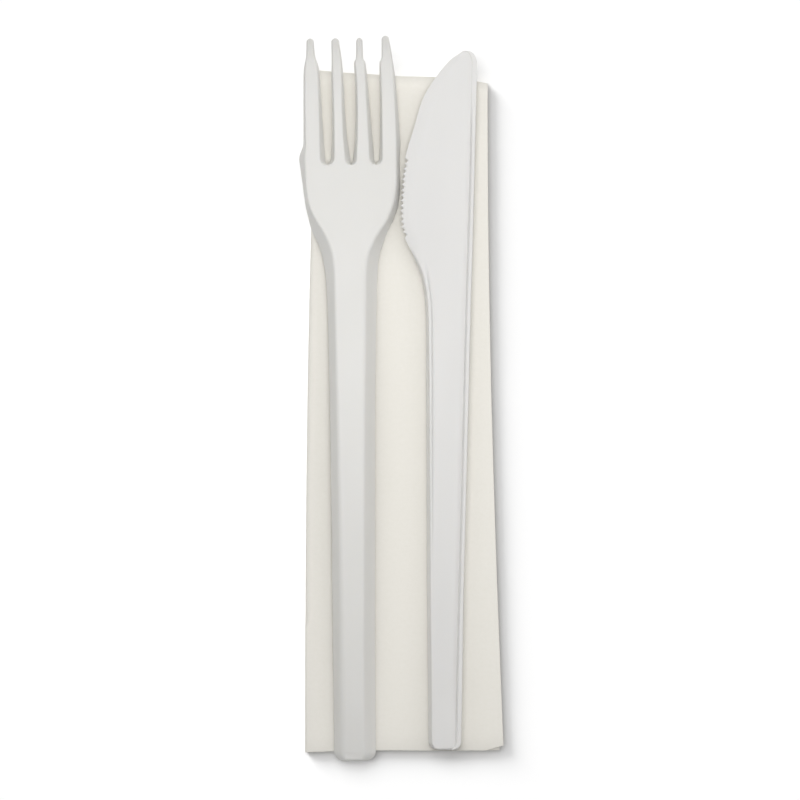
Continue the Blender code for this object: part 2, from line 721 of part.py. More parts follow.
def main():
    """Build the set."""
    clear_scene()
    pieces = new_collection("reusable_cutlery_set")
    cutters = new_collection("cutters")
    plastic = new_material("moulded bioplastic", PLASTIC_COLOUR, PLASTIC_ROUGHNESS)
    plastic_knife = new_material("moulded bioplastic of the knife", PLASTIC_COLOUR, PLASTIC_ROUGHNESS)
    tissue = new_material("tissue paper", PAPER_COLOUR, PAPER_ROUGHNESS)
    fork, hollow = build_fork(pieces, cutters, plastic)
    knife = build_knife(pieces, plastic_knife)
    napkin = build_napkin(pieces, tissue)
    bed = 4 * NAPKIN_PANEL_THICKNESS + 3 * LAYER_GAP + REST_GAP
    lay([fork, hollow], (FORK_INSET, -FORK_OVERHANG, bed), FORK_TURN)
    lay([knife], (knife_across(), KNIFE_END_INSET, bed), KNIFE_TURN)
    centre([fork, knife, napkin], [hollow])


main()
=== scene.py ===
"""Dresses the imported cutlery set: a moulded fork and a serrated knife on a folded paper napkin.

Metres, +Z up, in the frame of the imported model. Each piece is built in a frame of its own, in which
Y runs from its near end to its far end, X across and Z up, and is then laid where the model has it.
"""

from __future__ import annotations

import logging
from dataclasses import dataclass
from enum import Enum
from math import ceil, cos, hypot, pi, radians, sin, sqrt
from typing import Callable, Sequence

import bmesh
import bpy
from bmesh.types import BMesh
from bpy.types import ID, Collection, Light, Material, Node, NodeSocket, NodeTree, Object
from mathutils import Matrix, Vector

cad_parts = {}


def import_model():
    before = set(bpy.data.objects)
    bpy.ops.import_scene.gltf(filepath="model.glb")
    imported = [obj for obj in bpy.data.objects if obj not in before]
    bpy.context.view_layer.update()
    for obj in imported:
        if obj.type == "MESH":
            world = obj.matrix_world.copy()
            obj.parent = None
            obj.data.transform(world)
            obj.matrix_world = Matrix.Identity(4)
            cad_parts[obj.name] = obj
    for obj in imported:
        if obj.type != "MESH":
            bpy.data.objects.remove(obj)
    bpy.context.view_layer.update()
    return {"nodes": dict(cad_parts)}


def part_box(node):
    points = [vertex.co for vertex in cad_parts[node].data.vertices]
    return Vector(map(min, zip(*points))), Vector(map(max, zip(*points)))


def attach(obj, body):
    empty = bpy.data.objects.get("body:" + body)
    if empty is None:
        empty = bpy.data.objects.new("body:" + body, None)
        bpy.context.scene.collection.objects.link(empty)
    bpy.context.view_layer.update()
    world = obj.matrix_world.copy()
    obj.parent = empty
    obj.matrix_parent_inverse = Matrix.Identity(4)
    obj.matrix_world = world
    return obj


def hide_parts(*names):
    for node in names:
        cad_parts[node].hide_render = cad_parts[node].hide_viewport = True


LOG = logging.getLogger("cutlery_set")
MM = 0.001

# Points closer than this are one point.
WELD = 0.001 * MM

# The cutlery lies this far above the napkin, with the middle of its near end so far from the near
# left corner of the napkin's box.
REST_GAP = 0.3 * MM
FORK_OFFSET = (11.5 * MM, -2.4 * MM)
KNIFE_OFFSET = (32.0 * MM, 0.3 * MM)
FORK_TURN = radians(0.62)
KNIFE_TURN = radians(-0.33)

Profile = Callable[[float], float]
Pair = tuple[float, float]
Points = Sequence[Pair]


def linear_colour(code: str) -> tuple[float, float, float, float]:
    """Turn an sRGB hex colour into linear values.

    Args:
        code: Six hex digits after a hash sign.

    Returns:
        Red, green, blue and full opacity.
    """
    parts = [int(code[i : i + 2], 16) / 255 for i in (1, 3, 5)]
    red, green, blue = (p / 12.92 if p <= 0.04045 else ((p + 0.055) / 1.055) ** 2.4 for p in parts)
    return red, green, blue, 1.0


def curve_through(points: Points) -> Profile:
    """Return a smooth function that passes through the points and never overshoots them.

    Args:
        points: Pairs of place and value, in rising order of place.

    Returns:
        The function, constant beyond the first and last place.
    """
    places = [point[0] for point in points]
    values = [point[1] for point in points]
    spans = [b - a for a, b in zip(places, places[1:])]
    slopes = [(b - a) / span for a, b, span in zip(values, values[1:], spans)]
    tangents = [slopes[0]]
    for before, after in zip(slopes, slopes[1:]):
        tangents.append(0.0 if before * after <= 0 else 2 * before * after / (before + after))
    tangents.append(slopes[-1])

    def value_at(place: float) -> float:
        """Value of the curve at a place."""
        if place <= places[0]:
            return values[0]
        if place >= places[-1]:
            return values[-1]
        k = max(i for i, start in enumerate(places[:-1]) if start <= place)
        t = (place - places[k]) / spans[k]
        return (
            values[k] * (2 * t**3 - 3 * t**2 + 1)
            + tangents[k] * spans[k] * (t**3 - 2 * t**2 + t)
            + values[k + 1] * (3 * t**2 - 2 * t**3)
            + tangents[k + 1] * spans[k] * (t**3 - t**2)
        )

    return value_at


def in_mm(points: Points) -> Profile:
    """Make a curve from pairs that are written in millimetres."""
    return curve_through([(place * MM, value * MM) for place, value in points])


def mix(a: float, b: float, share: float) -> float:
    """Blend two values."""
    return a + (b - a) * share


def smoothstep(low: float, high: float, value: float) -> float:
    """Rise softly from 0 at low to 1 at high."""
    t = min(1.0, max(0.0, (value - low) / (high - low)))
    return t * t * (3 - 2 * t)


def spread(start: float, end: float, step: float) -> list[float]:
    """Even places from start up to, but not including, end, no further apart than step."""
    count = max(1, ceil((end - start) / step))
    return [mix(start, end, i / count) for i in range(count)]


def rounded(start: Vector, corner: Vector, end: Vector, count: int) -> list[Vector]:
    """Points along the curve that rounds a corner.

    Args:
        start: Where the rounding leaves the first face.
        corner: The sharp corner that it replaces.
        end: Where it meets the second face.
        count: Number of steps.

    Returns:
        count + 1 points, the start and the end among them.
    """
    shares = [i / count for i in range(count + 1)]
    return [(1 - t) ** 2 * start + 2 * t * (1 - t) * corner + t**2 * end for t in shares]


def add_node(tree: NodeTree, kind: str, inputs: dict, **settings: str) -> Node:
    """Add a node with its settings and links.

    Args:
        tree: Node tree that gets the node.
        kind: Blender's name of the node type.
        inputs: Values or output sockets, by the name or number of the input.
        settings: Attributes of the node and their values.

    Returns:
        The new node.
    """
    node = tree.nodes.new(kind)
    for name, value in settings.items():
        setattr(node, name, value)
    for key, value in inputs.items():
        if isinstance(value, NodeSocket):
            tree.links.new(value, node.inputs[key])
        else:
            node.inputs[key].default_value = value
    return node


def add_object(name: str, data: ID) -> Object:
    """Add an object with its data to the scene."""
    thing = bpy.data.objects.new(name, data)
    bpy.context.scene.collection.objects.link(thing)
    return thing


def hang_lamp(light: Light, place: Vector, aim: Vector) -> Object:
    """Hang a lamp at a place, so that it shines along a direction and the camera doesn't see it."""
    lamp = add_object(light.name, light)
    lamp.location = place
    lamp.rotation_euler = aim.to_track_quat("-Z", "Y").to_euler()
    lamp.visible_camera = False
    return lamp


def mesh_object(bm: BMesh, name: str) -> Object:
    """Turn a bmesh into an object in the scene, shaded smooth, and free it."""
    mesh = bpy.data.meshes.new(name)
    bm.to_mesh(mesh)
    bm.free()
    mesh.shade_smooth()
    return add_object(name, mesh)


def solid_object(bm: BMesh, name: str) -> Object:
    """Turn a closed bmesh into an object in the scene, with its faces pointing out."""
    bmesh.ops.recalc_face_normals(bm, faces=bm.faces)
    if bm.calc_volume(signed=True) < 0:
        bmesh.ops.reverse_faces(bm, faces=bm.faces)
    return mesh_object(bm, name)


def apply_modifiers(thing: Object) -> None:
    """Put what the modifiers make into the mesh itself."""
    depsgraph = bpy.context.evaluated_depsgraph_get()
    made = bpy.data.meshes.new_from_object(thing.evaluated_get(depsgraph))
    thing.modifiers.clear()
    thing.data = made


def fill(bm: BMesh, near: list, far: list) -> None:
    """Fill the strip between two rows with equal point counts."""
    for k in range(len(near) - 1):
        bm.faces.new((near[k], near[k + 1], far[k + 1], far[k]))


def weld(bm: BMesh) -> None:
    """Join points that lie on each other, and drop what shrinks to nothing."""
    bmesh.ops.remove_doubles(bm, verts=bm.verts, dist=WELD)
    bmesh.ops.dissolve_degenerate(bm, edges=bm.edges, dist=WELD)


def keep_flat(thing: Object, sharpest: float) -> None:
    """Shade flat faces as flat, and edges that turn by more than the sharpest smooth one as sharp."""
    thing.data.set_sharp_from_angle(angle=sharpest)
    weighted = thing.modifiers.new("Flat faces stay flat", "WEIGHTED_NORMAL")
    weighted.keep_sharp = True


def skin(rings: Sequence[Sequence[Vector]]) -> BMesh:
    """Skin a row of closed rings with equal point counts and close both ends."""
    bm = bmesh.new()
    rows = [[bm.verts.new(point) for point in ring] for ring in rings]
    for near, far in zip(rows, rows[1:]):
        fill(bm, near + near[:1], far + far[:1])
    bm.faces.new(rows[0])
    bm.faces.new(rows[-1])
    return bm


def start_material(name: str) -> tuple[Material, NodeTree, Node, NodeSocket]:
    """Start a material, and return it with its node tree, its shader and the places on what it covers."""
    made = bpy.data.materials.new(name)
    made.use_nodes = True
    tree = made.node_tree
    place = add_node(tree, "ShaderNodeTexCoord", {}).outputs["Object"]
    return made, tree, tree.nodes["Principled BSDF"], place


def noise(tree: NodeTree, place: NodeSocket, size_mm: float, detail: float, roughness: float) -> NodeSocket:
    """Add noise with spots of about this size."""
    inputs = {"Vector": place, "Scale": 1 / (size_mm * MM), "Detail": detail, "Roughness": roughness}
    return add_node(tree, "ShaderNodeTexNoise", inputs).outputs[0]


def tint(tree: NodeTree, shader: Node, spots: NodeSocket, colour: str, spot_colour: str) -> None:
    """Give the shader one colour, and its spots another."""
    colours = {0: spots, 6: linear_colour(colour), 7: linear_colour(spot_colour)}
    both = add_node(tree, "ShaderNodeMix", colours, data_type="RGBA")
    tree.links.new(both.outputs[2], shader.inputs["Base Color"])


def emboss(tree: NodeTree, shader: Node, heights: NodeSocket, depth_mm: float) -> None:
    """Give the surface of the shader a fine relief."""
    inputs = {"Height": heights, "Strength": 1.0, "Distance": depth_mm * MM}
    relief = add_node(tree, "ShaderNodeBump", inputs)
    tree.links.new(relief.outputs[0], shader.inputs["Normal"])


@dataclass(frozen=True)
class MouldedBioplastic:
    """Crystallised PLA, injection moulded in a fine-blasted steel mould.

    The clouds are as wide as the melt's flow marks. The blasted texture is really finer than a tenth
    of a millimetre, and is drawn coarser so that it shows.
    """

    name: str
    colour: str
    cloud_colour: str
    roughness: float = 0.5
    roughness_spread: Pair = (-0.03, 0.04)
    ior: float = 1.46
    cloud_mm: float = 14.0
    cloud_stretch: float = 0.35
    texture_mm: float = 0.35
    texture_depth_mm: float = 0.006
    glow: float = 0.12
    glow_mm: float = 0.6
    glow_colour: tuple[float, float, float] = (1.0, 0.9, 0.75)

    def material(self) -> Material:
        """Make the material.

        Returns:
            An off-white, faintly translucent plastic. The blasted mould gives it a satin surface with
            soft highlights, and the chalk-filled melt gives faint clouds in its colour.
        """
        made, tree, shader, place = start_material(self.name)
        flow = add_node(tree, "ShaderNodeMapping", {"Vector": place, "Scale": (1, self.cloud_stretch, 1)})
        clouds = noise(tree, flow.outputs[0], self.cloud_mm, 3.0, 0.5)
        tint(tree, shader, clouds, self.colour, self.cloud_colour)
        emboss(tree, shader, noise(tree, place, self.texture_mm, 2.0, 0.6), self.texture_depth_mm)
        shiniest, dullest = (self.roughness + change for change in self.roughness_spread)
        satin = add_node(tree, "ShaderNodeMapRange", {0: clouds, 1: 0.3, 2: 0.7, 3: shiniest, 4: dullest})
        tree.links.new(satin.outputs[0], shader.inputs["Roughness"])
        shader.inputs["IOR"].default_value = self.ior
        shader.inputs["Subsurface Weight"].default_value = self.glow
        shader.inputs["Subsurface Radius"].default_value = self.glow_colour
        shader.inputs["Subsurface Scale"].default_value = self.glow_mm * MM
        return made


@dataclass(frozen=True)
class CrepedTissue:
    """Two-ply tissue paper, dried and creped on a drum, unprinted."""

    name: str
    colour: str
    fibre_colour: str
    crepe_mm: float = 0.55
    crepe_stretch: float = 0.35
    crepe_depth_mm: float = 0.02
    fibre_mm: float = 0.9
    roughness: float = 0.93
    specular: float = 0.25
    fuzz: float = 0.08
    fuzz_roughness: float = 0.6

    def material(self) -> Material:
        """Make the material.

        Returns:
            A cream-white, fully matte paper. The creping leaves fine ripples across the sheet, and the
            loose fibres give it faint flecks and a soft edge to the light.
        """
        made, tree, shader, place = start_material(self.name)
        fibres = noise(tree, place, self.fibre_mm, 5.0, 0.65)
        tint(tree, shader, fibres, self.colour, self.fibre_colour)
        across = add_node(tree, "ShaderNodeMapping", {"Vector": place, "Scale": (self.crepe_stretch, 1, 1)})
        ripples = noise(tree, across.outputs[0], self.crepe_mm, 3.0, 0.5)
        emboss(tree, shader, ripples, self.crepe_depth_mm)
        shader.inputs["Roughness"].default_value = self.roughness
        shader.inputs["Specular IOR Level"].default_value = self.specular
        shader.inputs["Sheen Weight"].default_value = self.fuzz
        shader.inputs["Sheen Roughness"].default_value = self.fuzz_roughness
        return made


class Side(Enum):
    """The two sides of a piece, as the sign of X."""

    LEFT = -1
    RIGHT = 1


@dataclass
class Lay:
    """Where a piece lies: the middle of its near end, and its turn seen from above."""

    place: Vector
    turn: float = 0.0

    def put(self, thing: Object) -> None:
        """Move a piece's mesh from its own frame to where it lies, leaving the object at the origin."""
        thing.data.transform(Matrix.Translation(self.place) @ Matrix.Rotation(self.turn, 4, "Z"))
        thing.data.update()


Column = list[Vector]


@dataclass(frozen=True)
class Tine:
    """One tine: the near and far edge of its face, seen from the middle of the fork, and its reach."""

    near: Profile
    far: Profile
    reach: float


@dataclass
class Fork:
    """A four-tine fork, moulded in one shot, with a hollow handle and head.

    Its outlines follow the photograph. It lies tipped a little to the left, so its left side
    looks steeper than its right one, and its tines end in narrow nibs. The curves give distances from
    its middle line, or heights, for places along it.
    """

    lay: Lay
    finish: MouldedBioplastic
    root: float = 135.7 * MM
    tine_length: float = 28.8 * MM
    neck: float = 105 * MM
    middle: float = 0.45 * MM
    butt_corner: float = 2.3 * MM
    butt_slope: float = 0.3 * MM
    butt_round: float = 0.5 * MM
    face_corner: float = 1.0 * MM
    wall: float = 1.1 * MM
    gap_slope: float = 0.45 * MM
    left_round: float = 0.28 * MM
    right_round: float = 0.45 * MM
    tip_round: float = 0.8 * MM
    left_ear: float = 3.2 * MM
    right_ear: float = 4.5 * MM
    foot: float = 0.25 * MM
    round_share: float = 0.8
    least_round: float = 0.02 * MM
    core_margin: float = 1 * MM
    core_corner: float = 0.12
    core_steps: int = 4
    handle_step: float = 2 * MM
    head_step: float = 0.9 * MM
    tine_step: float = 0.5 * MM
    corner_degrees: int = 10
    tip_degrees: int = 8
    arc_steps: int = 6
    rails: tuple[float, ...] = (0.0, 0.15, 0.85, 1.1)
    sharpest: float = radians(38)

    def __post_init__(self) -> None:
        """Set the curves that give the fork's plan and side view."""
        self.set_outlines()
        self.set_tines()
        self.height = in_mm([
            (0, 2.9), (14, 4.0), (36.8, 4.6), (78.8, 4.8), (105, 4.44), (121.2, 3.6), (136, 3.3),
        ])
        self.under = in_mm([(0, 0), (34.7, 0.94), (70.4, 1.7), (105, 0.85), (132, 0.03), (136, 0)])
        self.tine_face = in_mm([
            (136, 3.3), (143.8, 3.33), (150.5, 3.6), (157.8, 4.45), (161.5, 5.3), (165, 6.8),
        ])
        self.tine_height = in_mm([(136, 3.1), (144.7, 2.45), (154.9, 1.82), (165, 1.2)])
        self.left_slope = in_mm([(137, 0.8), (142, 0.52), (148, 0.42), (156, 0.36), (160, 0.22), (165, 0.15)])
        self.right_slope = in_mm([(137, 1.15), (142, 0.9), (148, 0.65), (156, 0.4), (160, 0.22), (165, 0.15)])

    def set_outlines(self) -> None:
        """Set the outlines of the skirt and the face, and the rounding between the face and its slopes."""
        self.skirts = {
            Side.LEFT: in_mm([
                (0, 4.85), (45, 4.85), (70, 4.9), (90, 5.05), (105, 5.3), (110, 5.6), (113.2, 5.95),
                (116.5, 6.75), (119.3, 7.9), (121, 8.7), (123.9, 9.45), (127, 10.1), (131.1, 10.6),
                (134.5, 11.05), (136.8, 11.35),
            ]),
            Side.RIGHT: in_mm([
                (0, 4.6), (18, 4.65), (43, 4.9), (70, 5.2), (83, 5.35), (105, 5.9), (110, 6.1),
                (114, 6.45), (118.6, 7.8), (120.4, 8.5), (123.1, 9.9), (126.5, 11.1), (131, 11.6),
                (137, 11.55),
            ]),
        }
        self.faces = {
            Side.LEFT: in_mm([
                (0, 3.1), (36.8, 3.05), (59.5, 3.2), (82, 3.4), (105, 3.6), (111, 3.65), (114, 3.85),
                (116.6, 4.4), (120, 5.75), (123.3, 7.75), (127, 9.35), (131, 9.9), (137.3, 10.1),
            ]),
            Side.RIGHT: in_mm([
                (0, 2.1), (18, 2.1), (43, 2.4), (59.5, 2.6), (82, 3.0), (105, 3.4), (111, 3.5), (114, 3.8),
                (118.6, 5.6), (123.1, 8.5), (127.6, 10.1), (132.2, 10.7), (137.3, 10.75),
            ]),
        }
        self.rounds = {
            Side.LEFT: in_mm([(0, 1.3), (40, 1.1), (80, 0.8), (105, 0.6), (137, 0.45)]),
            Side.RIGHT: in_mm([(0, 0.7), (105, 0.75), (137, 0.6)]),
        }

    def set_tines(self) -> None:
        """Set the inner and the outer tine of each side."""
        left_inner = Tine(
            in_mm([(137.3, -0.9), (142, -1.3), (148.7, -1.45), (155.5, -1.5), (159.1, -1.6), (161.2, -1.8),
                   (163.5, -2.1)]),
            in_mm([(137.3, -3.35), (142, -3.28), (148.7, -3.36), (157, -3.45), (163.5, -3.56)]),
            28.75 * MM,
        )
        left_outer = Tine(
            in_mm([(137.3, -6.6), (142, -6.65), (148.7, -6.72), (155.5, -6.82), (157.9, -6.98), (159.2, -7.3),
                   (160.6, -7.68), (163.6, -7.84)]),
            in_mm([(137.3, -9.9), (142, -9.82), (148.7, -9.85), (155.5, -9.8), (157.9, -9.74), (159.3, -9.5),
                   (160.6, -9.28), (163.6, -9.22)]),
            28.75 * MM,
        )
        right_inner = Tine(
            in_mm([(137.3, 1.72), (141.8, 1.93), (148.6, 2.05), (155.4, 1.93), (157.7, 1.7), (159.0, 1.62),
                   (159.9, 2.02), (164, 2.1)]),
            in_mm([(137.3, 4.57), (141.8, 4.46), (148.6, 4.19), (155.4, 3.92), (158.9, 3.75), (159.8, 3.24),
                   (164, 3.22)]),
            28.8 * MM,
        )
        right_outer = Tine(
            in_mm([(137.3, 7.6), (148.5, 7.6), (155.3, 7.5), (158.9, 7.42), (159.9, 7.84), (163.9, 7.86)]),
            in_mm([(137.3, 10.75), (141.8, 10.75), (148.5, 10.6), (155.3, 10.3), (159.3, 9.95), (162.1, 9.6),
                   (163.9, 9.25)]),
            29.2 * MM,
        )
        self.tines = {Side.LEFT: (left_inner, left_outer), Side.RIGHT: (right_inner, right_outer)}

    def slope(self, way: int, y: float) -> float:
        """How far a tine's side runs out below its face, where the side faces left (-1) or right (1)."""
        return self.left_slope(y) if way < 0 else self.right_slope(y)

    def rounding(self, way: int) -> float:
        """Radius along a tine's edge that faces left (-1) or right (1)."""
        return self.left_round if way < 0 else self.right_round

    def side_gap(self, side: Side) -> Pair:
        """Middle and half width of the gap between an inner and an outer tine, at its closed end."""
        inner, outer = self.tines[side]
        between = inner.far(self.root), outer.near(self.root)
        return sum(between) / 2, abs(between[0] - between[1]) / 2

    def column(self, face: Vector, low: Vector, inward: Vector, radius: float) -> Column:
        """Points down one side of the fork, round from the face into the slope.

        Args:
            face: The sharp corner between the face and the slope.
            low: The bottom of the slope.
            inward: Direction from the corner into the face.
            radius: Size of the rounding.

        Returns:
            The points, from the face to the bottom.
        """
        down = (low - face).normalized()
        arc = rounded(face + inward.normalized() * radius, face, face + down * radius, self.arc_steps)
        foot = low - down * self.foot
        return [*arc, (arc[-1] + foot) / 2, foot, low]

    def outer_column(self, side: Side, y: float, top_z: float, low_z: float) -> Column:
        """The column along the outer edge of the handle and head, at a distance from the butt."""
        return self.column(
            Vector((side.value * self.faces[side](y), y, top_z)),
            Vector((side.value * self.skirts[side](y), y, low_z)),
            Vector((-side.value, 0, 0)), self.rounds[side](y),
        )

    def shares(self, side: Side) -> list[float]:
        """Where the tines' rails run across the solid handle and head, as shares of its half width."""
        half = abs(side.value * self.faces[side](self.root) - self.middle)
        gap = abs(self.side_gap(side)[0] - self.middle) / half
        return [rail * gap for rail in self.rails]

    def butt_rows(self, side: Side) -> list[list[Column]]:
        """Rows of columns round one corner of the butt, the first of them along its end."""
        sign, skirt, face_at = side.value, self.skirts[side], self.faces[side]
        rows = []
        for angle in range(0, 90, self.corner_degrees):
            turn = radians(angle)
            ahead, back = 1 - cos(turn), 1 - sin(turn)
            y = self.butt_corner * ahead
            face_y = mix(self.butt_slope, self.butt_corner, ahead)
            low_z = self.under(y)
            top_z = low_z + self.height(y)
            radius = mix(self.butt_round, self.rounds[side](y), sin(turn))
            outer = self.column(
                Vector((sign * (face_at(y) - self.face_corner * back), face_y, top_z)),
                Vector((sign * (skirt(y) - self.butt_corner * back), y, low_z)),
                Vector((-sign * sin(turn), cos(turn), 0)), radius,
            )
            middle = self.column(
                Vector((self.middle, face_y, top_z)), Vector((self.middle, y, low_z)), Vector((0, 1, 0)),
                self.butt_round,
            )
            middle[0].y = face_y + self.butt_round * cos(turn)
            columns = [[a.lerp(b, share) for a, b in zip(middle, outer)] for share in self.shares(side)]
            if angle > 0:
                columns = [[column[0], column[-1]] for column in columns]
            rows.append([*columns, outer])
        return rows

    def body_rows(self, side: Side) -> list[list[Column]]:
        """Rows of columns along one half of the handle and head.

        A row holds a column for each rail: the middle line, both sides of the inner tine and both
        sides of the outer tine.
        """
        rows = self.butt_rows(side)
        handle = spread(self.butt_corner, self.neck, self.handle_step)
        head = spread(self.neck, self.root, self.head_step)
        for y in handle + head:
            low_z = self.under(y)
            top_z = low_z + self.height(y)
            outer = self.outer_column(side, y, top_z, low_z)
            high, low = Vector((self.middle, y, top_z)), Vector((self.middle, y, low_z))
            between = [
                [high.lerp(outer[0], share), low.lerp(outer[-1], share)] for share in self.shares(side)
            ]
            rows.append([*between, outer])
        return rows

    def gap_rows(self, side: Side) -> list[list[Column | None]]:
        """Rows of columns round the closed ends of the gaps between the tines."""
        sign = side.value
        middle_gap = abs(self.tines[side][0].near(self.root) - self.middle)
        place, gap = self.side_gap(side)
        walls = ((self.middle, middle_gap, sign), (place, gap, -sign), (place, gap, sign))
        rows = []
        for angle in range(0, 91, self.corner_degrees):
            turn = radians(angle)
            ahead, out = cos(turn), sin(turn)
            row: list[Column | None] = [None]
            for centre, half, way in walls:
                y = self.root + half * (1 - ahead)
                face_z = self.tine_face(y)
                low_half = half - self.slope(-way, y)
                face = Vector((centre + way * half * out, y, face_z))
                low = Vector((
                    centre + way * low_half * out, self.root + half - (half - self.gap_slope) * ahead,
                    face_z - self.tine_height(y),
                ))
                radius = mix(self.right_round, self.rounding(-way), out)
                row.append(self.column(face, low, Vector((way * out, -ahead, 0)), radius))
            y = self.root + gap * (1 - ahead)
            face_z = self.tine_face(y)
            low_z = mix(face_z - self.tine_height(y), 0.0, ahead)
            row.append(self.outer_column(side, y, face_z, low_z))
            if angle == 0:
                row[0] = row[1]
            rows.append(row)
        return rows

    def tine_rows(self, side: Side) -> list[list[Column | None]]:
        """Rows of columns along the free tines, out to their round tips."""
        sign = side.value
        start = self.root + self.side_gap(side)[1]
        tip = self.root + self.tine_length
        ear = self.left_ear if side is Side.LEFT else self.right_ear
        stations = [(y, 0.0) for y in spread(start + self.tine_step, tip - self.tip_round, self.tine_step)]
        for angle in range(0, 80, self.tip_degrees):
            stations.append((tip - self.tip_round * (1 - sin(radians(angle))), float(angle)))
        rows = []
        for station, angle in stations:
            narrow = cos(radians(angle))
            freed = smoothstep(start, start + ear, station)
            row: list[Column | None] = [None]
            for tine in self.tines[side]:
                y = self.root + (station - self.root) * tine.reach / self.tine_length
                top_z = self.tine_face(y)
                low_z = top_z - self.tine_height(y)
                middle, half = (tine.near(y) + tine.far(y)) / 2, abs(tine.near(y) - tine.far(y)) / 2
                for edge, way in ((tine.near, -sign), (tine.far, sign)):
                    face_x = mix(middle, edge(y), narrow)
                    low_x = face_x + way * self.slope(way, y) * narrow
                    radius = self.rounding(way)
                    if edge is self.tines[side][1].far:
                        face_x = mix(sign * self.faces[side](start), face_x, freed)
                        low_x = mix(sign * self.skirts[side](start), low_x, freed)
                        radius = mix(self.rounds[side](start), radius, freed)
                    row.append(self.column(
                        Vector((face_x, y, top_z)), Vector((low_x, y, low_z)), Vector((-way, 0, 0)),
                        min(radius, self.round_share * half * narrow + self.least_round),
                    ))
            rows.append(row)
        return rows

    def half(self, side: Side) -> Object:
        """Skin one half of the fork from its rails."""
        solid = self.body_rows(side)
        rows = solid + self.gap_rows(side) + self.tine_rows(side)
        bm = bmesh.new()
        verts = [
            [[bm.verts.new(point) for point in column] if column else None for column in row]
            for row in rows
        ]
        for k in range(len(rows) - 1):
            whole = k < len(solid)
            near, far = verts[k], verts[k + 1]
            for i in (range(4) if whole else (1, 3)):
                for level in (0, -1):
                    bm.faces.new((near[i][level], near[i + 1][level], far[i + 1][level], far[i][level]))
            for i in ((4,) if whole else (1, 2, 3, 4)):
                fill(bm, near[i], far[i])
        for row, places in ((verts[0], range(4)), (verts[-1], (1, 3))):
            for i in places:
                fill(bm, row[i], row[i + 1])
        weld(bm)
        return solid_object(bm, f"fork_half_{side.name.lower()}")

    def hollow(self) -> Object:
        """Make the solid that the core of the mould leaves empty under the handle and head."""
        rings = []
        margin = self.core_margin
        end = self.root - self.wall
        for y in spread(self.butt_corner + self.wall, end, self.handle_step) + [end]:
            rise, low = self.height(y), self.under(y)
            points = {}
            for side in Side:
                skirt = self.skirts[side](y)
                lean = (skirt - self.faces[side](y)) / rise
                wall = self.wall * hypot(1.0, lean)
                top = skirt - wall - lean * (rise - self.wall)
                points[side] = (
                    Vector((side.value * (skirt - wall + lean * margin), y, low - margin)),
                    Vector((side.value * top, y, low + rise - self.wall)),
                )
            (left_low, left), (right_low, right) = points[Side.LEFT], points[Side.RIGHT]
            share, steps = self.core_corner, self.core_steps
            rings.append([
                left_low, right_low,
                *rounded(right.lerp(right_low, share), right, right.lerp(left, share), steps),
                *rounded(left.lerp(right, share), left, left.lerp(left_low, share), steps),
            ])
        return solid_object(skin(rings), "fork_core")

    def build(self) -> Object:
        """Build the fork and dress it.

        Returns:
            The finished fork, lying in its place.
        """
        halves = [self.half(side) for side in Side]
        bm = bmesh.new()
        for thing in halves:
            bm.from_mesh(thing.data)
            bpy.data.objects.remove(thing, do_unlink=True)
        bmesh.ops.remove_doubles(bm, verts=bm.verts, dist=2 * WELD)
        fork = solid_object(bm, "moulded_fork")
        core = self.hollow()
        cut = fork.modifiers.new("Hollow underside", "BOOLEAN")
        cut.operation = "DIFFERENCE"
        cut.solver = "EXACT"
        cut.object = core
        apply_modifiers(fork)
        bpy.data.objects.remove(core, do_unlink=True)
        fork.data.shade_smooth()
        keep_flat(fork, self.sharpest)
        fork.data.materials.clear()
        fork.data.materials.append(self.finish.material())
        self.lay.put(fork)
        return fork


